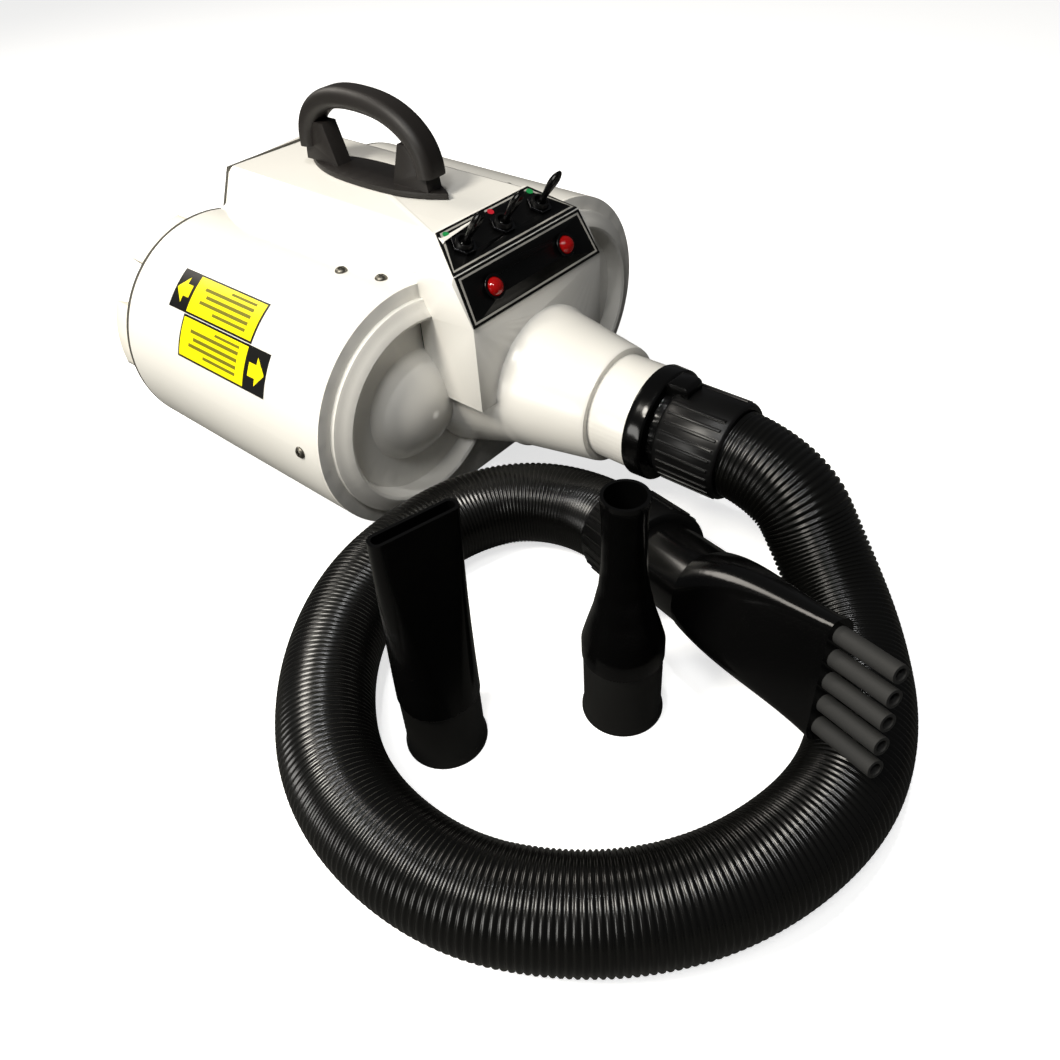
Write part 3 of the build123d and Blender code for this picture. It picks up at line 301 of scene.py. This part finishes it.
def spline_points(name, control, resolution=24):
    """Points along a NURBS spline, in metres in the frame."""
    data = bpy.data.curves.new(name, "CURVE")
    data.dimensions = "3D"
    data.resolution_u = resolution
    spline = data.splines.new("NURBS")
    spline.points.add(len(control) - 1)
    for point, spot in zip(spline.points, place(control)):
        point.co = (*spot, 1.0)
    spline.order_u = 3
    spline.use_endpoint_u = True
    holder = bpy.data.objects.new(name, data)
    bpy.context.scene.collection.objects.link(holder)
    mesh = bpy.data.meshes.new_from_object(holder)
    points = np.array([v.co[:] for v in mesh.vertices])
    bpy.data.objects.remove(holder)
    bpy.data.meshes.remove(mesh)
    return points


def even_spacing(points, step):
    """The same line with points every step along it."""
    gone = np.concatenate([[0], np.cumsum(np.linalg.norm(np.diff(points, axis=0), axis=1))])
    at = np.linspace(0, gone[-1], int(gone[-1] / step) + 1)
    return np.stack([np.interp(at, gone, points[:, k]) for k in range(3)], -1), at


def make_hose():
    """Ribbed tube: round each point of the line a ring of radius R minus the groove
    depth times (1 - |sin(pi s / pitch)|) to the power 1.6, s being the way along."""
    line = (spline_points("hose_line", HOSE_POINTS) - HOME) / MM
    path, at = even_spacing(line, RIB_PITCH / 5)
    for _ in range(3):
        path[1:-1] = (path[:-2] + 2 * path[1:-1] + path[2:]) / 4
    _, side, up = frames_along(path)
    groove = RIB_DEPTH * (1 - np.abs(np.sin(np.pi * at / RIB_PITCH))) ** 1.6
    radius = HOSE_OD / 2 - groove
    angle = np.linspace(0, 2 * np.pi, HOSE_SIDES, endpoint=False)[None, :, None]
    ring = side[:, None] * np.cos(angle) + up[:, None] * np.sin(angle)
    points = path[:, None] + ring * radius[:, None, None]
    piece = sheet_piece("hose_ribbed", points, HOSE, "machine", "hose_black")
    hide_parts("hose")
    length = float(at[-1]) * MM
    return length


print("hose length", make_hose())


# ---------------------------------------------------------------- carried-over nodes

PLAIN = {
    "front_cover": ABS_WHITE, "barrel_shell": ENAMEL, "rear_cover": ABS_WHITE, "rear_gasket": GASKET,
    "intake_cap_near": ABS_SATIN, "intake_cap_far": ABS_SATIN,
    "filter_foam_near": FOAM, "filter_foam_far": FOAM,
    "panel_upper": PANEL, "panel_lower": PANEL, "marks_green": GREEN_DOT, "mark_red": RED_DOT,
    "toggle_bodies": BLACK_SATIN, "toggle_nuts": DARK_CHROME,
    "toggle_lever_left": BLACK_GLOSS, "toggle_lever_centre": BLACK_GLOSS, "toggle_lever_right": BLACK_GLOSS,
    "lamp_lenses": LENS, "lamp_bezels": BLACK_GLOSS, "outlet_sleeve": ABS_WHITE,
    "hose_collar": BLACK_GLOSS, "hose_cuff_machine": BLACK_SATIN, "hose_cuff_tool": BLACK_SATIN,
    "claw_body": BLACK_GLOSS, "claw_fingers": FINGER, "round_nozzle": BLACK_GLOSS, "flat_nozzle": BLACK_GLOSS,
    "mains_inlet": BLACK_SATIN, "bulkhead": ZINC, "heater_coil": NICHROME, "heater_frame": MICA,
    "thermostat": ZINC, "control_board": BOARD, "capacitor": FILM, "handle_grip": GRIP, "handle_base": GRIP,
    "shell_screws": SCREW, "feet": RUBBER, "foot_screws": ZINC,
    "label_upper": LABEL_BLACK, "label_lower": LABEL_BLACK,
}
for end in ("near", "far"):
    PLAIN["motor_gasket_" + end] = RUBBER
    PLAIN["fan_shell_" + end] = ZINC
    PLAIN["motor_frame_" + end] = BLACK_SATIN
    PLAIN["stator_" + end] = IRON
    PLAIN["armature_" + end] = IRON
    PLAIN["impeller_" + end] = ZINC
    PLAIN["brushes_" + end] = BLACK_SATIN

ROUNDED = {
    "front_cover": 1.3, "rear_cover": 0.6, "intake_cap_near": 1.2, "intake_cap_far": 1.2,
    "rear_gasket": 0.3,
    "hose_collar": 0.5, "hose_cuff_machine": 0.35, "hose_cuff_tool": 0.35, "outlet_sleeve": 0.4,
    "handle_base": 0.9, "toggle_bodies": 0.3, "toggle_nuts": 0.3, "lamp_bezels": 0.4, "mains_inlet": 0.4,
    "feet": 0.4, "panel_upper": 0.2, "panel_lower": 0.2, "shell_screws": 0.15,
}


def mark_ridges(data):
    """Bevel weight on the long edges of the spine: its top corners, (SPINE_HALF,
    SPINE_TOP), and its foot, where x = CREASE_X meets the barrel's circle."""
    foot = BARREL_Z + math.sqrt(BARREL_R ** 2 - (BARREL_X - CREASE_X) ** 2)
    spots = np.zeros(len(data.vertices) * 3)
    data.vertices.foreach_get("co", spots)
    spots = (spots.reshape(-1, 3) - HOME) / MM
    ends = np.zeros(len(data.edges) * 2, np.int32)
    data.edges.foreach_get("vertices", ends)
    a, b = spots[ends[0::2]], spots[ends[1::2]]
    chosen = np.zeros(len(a), bool)
    for x, z in ((SPINE_HALF, SPINE_TOP), (CREASE_X, foot)):
        near = [(np.abs(np.abs(p[:, 0]) - x) < 0.4) & (np.abs(p[:, 2] - z) < 0.4) for p in (a, b)]
        chosen |= near[0] & near[1] & (np.abs(a[:, 1] - b[:, 1]) > 0.5)
    weight = data.attributes.new("bevel_weight_edge", "FLOAT", "EDGE")
    weight.data.foreach_set("value", chosen.astype(np.float32))


def finish_node(name, material, width):
    """A carried-over node's own finish: its edges rounded to width and its curves smooth."""
    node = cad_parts[name]
    node.data.materials.clear()
    node.data.materials.append(material)
    node.data.polygons.foreach_set("use_smooth", [True] * len(node.data.polygons))
    weld = node.modifiers.new("weld", "WELD")
    weld.merge_threshold = 2e-6
    if name == "barrel_shell":
        mark_ridges(node.data)
        ridge = node.modifiers.new("ridges", "BEVEL")
        ridge.width = RIDGE_R * MM
        ridge.segments = 5
        ridge.limit_method = "WEIGHT"
        ridge.use_clamp_overlap = False
    if width:
        bevel = node.modifiers.new("edges", "BEVEL")
        bevel.width = width * MM
        bevel.segments = 2
        bevel.limit_method = "ANGLE"
        bevel.angle_limit = math.radians(38)
        bevel.harden_normals = True
        bevel.use_clamp_overlap = True
    else:
        split = node.modifiers.new("edges", "EDGE_SPLIT")
        split.split_angle = math.radians(32)


for name, material in PLAIN.items():
    finish_node(name, material, ROUNDED.get(name, 0.0))


def satin_foot(name, height):
    """The push-on end of a loose nozzle, up to a height, in the satin finish."""
    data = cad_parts[name].data
    data.materials.append(NOZZLE_SATIN)
    middles = np.zeros(len(data.polygons) * 3)
    data.polygons.foreach_get("center", middles)
    low = middles[2::3] < height * MM
    data.polygons.foreach_set("material_index", low.astype(np.int32))


for name, top in NOZZLE_FOOT_TOPS.items():
    satin_foot(name, top)


# ---------------------------------------------------------------- printed labels

def label_patch(name, stations, middle, halves, material):
    """Curved film on the near barrel: at each station along y a strip from middle - half
    to middle + half degrees round the axis, (R cos a, R sin a), PRINT_T thick."""
    steps = 17
    layers = []
    for radius in (LABEL_R + 0.02, LABEL_R + 0.02 + PRINT_T):
        layer = []
        for y, half in zip(stations, halves):
            angle = np.radians(np.linspace(middle - half, middle + half, steps))
            x = radius * np.cos(angle) - BARREL_X
            z = radius * np.sin(angle) + BARREL_Z
            layer.append(np.stack([x, np.full(steps, y), z], -1))
        layers.append(np.array(layer))
    low, high = layers
    count = len(stations)
    loop = np.concatenate([low, high[:, ::-1]], axis=1)
    around = 2 * steps
    faces = grid_faces(count, around, False, True)
    for row in (0, count - 1):
        first = row * around
        for k in range(steps - 1):
            last = first + around - 1 - k
            faces.append([first + k, first + k + 1, last - 1, last])
    mesh_piece(name, loop.reshape(-1, 3), faces, material, "machine", "label_yellow", crease=40)


def make_label(tag, middle, half, block, arrow, lines):
    """Yellow block with plain dashes, and an arrow on the black end of the label."""
    label_patch("label_block_" + tag, block, middle, (half, half), YELLOW)
    tip, neck_y, tail = arrow
    widths = (0.4, half * 0.72, half * 0.34, half * 0.34)
    label_patch("label_arrow_" + tag, (tip, neck_y, neck_y, tail), middle, widths, YELLOW)
    for k, (shift, reach, start, end) in enumerate(lines):
        name = "label_dash_%s_%d" % (tag, k)
        label_patch(name, (start, end), middle + shift, (reach, reach), LABEL_INK)


def make_panel_line(tag, top, low, top_half, low_half):
    """Printed border of one panel plate: a closed band LINE_WIDTH wide and 0.1 mm thick
    whose four corners lie LINE_INSET inside the plate's own, on its sloping face."""
    top, low = np.array(top), np.array(low)
    middle = (top + low) / 2
    size = np.linalg.norm(top - low)
    up = (top - low) / size
    out = np.array([-up[1], up[0]])
    under, over = PANEL_PLATE + 0.02, PANEL_PLATE + 0.12
    outer, inner = LINE_INSET, LINE_INSET + LINE_WIDTH
    rings = []
    for inset, lift in ((outer, under), (outer, over), (inner, over), (inner, under)):
        ring = []
        for end, half, sign in ((-1, low_half, -1), (-1, low_half, 1), (1, top_half, 1), (1, top_half, -1)):
            along = end * (size / 2 - inset)
            y, z = middle + up * along + out * lift
            ring.append((sign * (half - inset * 1.15), y, z))
        rings.append(ring)
    points = np.array(rings)
    mesh_piece("panel_line_" + tag, points.reshape(-1, 3), grid_faces(4, 4, True, True), PANEL_LINE,
               "machine", "panel_black", smooth=False)


top_half, fold_half, low_half = PANEL_HALVES
make_panel_line("upper", PANEL_TOP, PANEL_MID, top_half, fold_half)
make_panel_line("lower", PANEL_MID, PANEL_LOW, fold_half, low_half)

# One printed line each: degrees up from the block's middle, half height in degrees, and
# its start and end as shares of the block's length.
DASHES = (
    (5.6, 0.7, 0.12, 0.62),
    (2.6, 0.8, 0.12, 0.86),
    (-0.6, 0.8, 0.12, 0.80),
    (-3.8, 0.8, 0.12, 0.86),
    (-6.6, 0.6, 0.12, 0.5),
)
UPPER_BLOCK = (-35.6, 32.0)
LOWER_BLOCK = (-36.0, 31.6)
for tag, middle, half, block, arrow in (
    ("upper", 130.6, 8.7, UPPER_BLOCK, (49.0, 41.0, 35.0)),
    ("lower", 150.6, 8.9, LOWER_BLOCK, (-55.0, -47.0, -40.0)),
):
    wide = block[1] - block[0]
    dashes = [(up, reach, block[0] + wide * a, block[0] + wide * b) for up, reach, a, b in DASHES]
    make_label(tag, middle, half, block, arrow, dashes)


# ---------------------------------------------------------------- stage

FLOOR_HALF = 6.0           # metres
FLOOR_DROP = 0.0005        # metres below the feet

# Each light: its place, where it points, its diameter in millimetres, its watts, colour.
LIGHTS = (
    ("key", (-900, 60, 1150), (0, -60, 60), 420, 17, "#FFFAF0"),
    ("side", (-1300, 220, 120), (-60, -40, 70), 600, 7.0, "#FFFDF8"),
    ("fill", (-650, -520, 1150), (-60, -150, 60), 300, 4.0, "#FFFFFF"),
    ("spark", (-250, -300, 1500), (-60, -320, 30), 60, 3.5, "#FFFFFF"),
    ("rim", (-100, 1000, 900), (0, -100, 80), 500, 7, "#FFF8EE"),
)


def make_floor():
    """White floor that glows a little to the camera and is dark grey to every other ray,
    so that the black parts reflect something dark and little light comes from below."""
    mesh = bpy.data.meshes.new("floor")
    far = FLOOR_HALF
    mesh.from_pydata([(-far, -far, 0), (far, -far, 0), (far, far, 0), (-far, far, 0)], [], [(0, 1, 2, 3)])
    floor = bpy.data.objects.new("floor", mesh)
    floor.location.z = -FLOOR_DROP
    bpy.context.scene.collection.objects.link(floor)
    mat = bpy.data.materials.new("studio_floor")
    mat.use_nodes = True
    tree = mat.node_tree
    shader = tree.nodes["Principled BSDF"]
    shader.inputs["Base Color"].default_value = linear("#F4F4F2")
    shader.inputs["Roughness"].default_value = 0.9
    shader.inputs["Specular IOR Level"].default_value = 0.1
    shader.inputs["Emission Color"].default_value = linear("#FFFFFF")
    shader.inputs["Emission Strength"].default_value = 0.7
    path = add(tree, "ShaderNodeLightPath")
    dark = add(tree, "ShaderNodeBsdfDiffuse", Color=linear("#565654"))
    mix = add(tree, "ShaderNodeMixShader", i0=path.outputs["Is Camera Ray"],
              i1=dark.outputs[0], i2=shader.outputs[0])
    tree.links.new(mix.outputs[0], tree.nodes["Material Output"].inputs["Surface"])
    mesh.materials.append(mat)


def make_world():
    """White to the camera and a faint even light to everything else."""
    world = bpy.data.worlds.new("studio")
    world.use_nodes = True
    bpy.context.scene.world = world
    tree = world.node_tree
    path = add(tree, "ShaderNodeLightPath")
    seen = add(tree, "ShaderNodeBackground", Color=linear("#FFFFFF"), Strength=1.0)
    lit = add(tree, "ShaderNodeBackground", Color=linear("#F4F6FA"), Strength=0.08)
    mix = add(tree, "ShaderNodeMixShader", i0=path.outputs["Is Camera Ray"],
              i1=lit.outputs[0], i2=seen.outputs[0])
    tree.links.new(mix.outputs[0], tree.nodes["World Output"].inputs["Surface"])


def make_lights():
    """Soft key from the upper left, a low side light, a fill, a small spark that gives
    the hose its glints, and a rim light from behind."""
    for name, spot, aim, size, power, colour in LIGHTS:
        data = bpy.data.lights.new(name, "AREA")
        data.shape = "DISK"
        data.size = size * MM
        data.energy = power
        data.color = linear(colour)[:3]
        lamp = bpy.data.objects.new(name, data)
        bpy.context.scene.collection.objects.link(lamp)
        start, end = Vector(place(spot)), Vector(place(aim))
        lamp.location = start
        lamp.rotation_euler = (end - start).to_track_quat("-Z", "Y").to_euler()


make_floor()
make_world()
make_lights()
bpy.context.scene.view_settings.view_transform = "Standard"
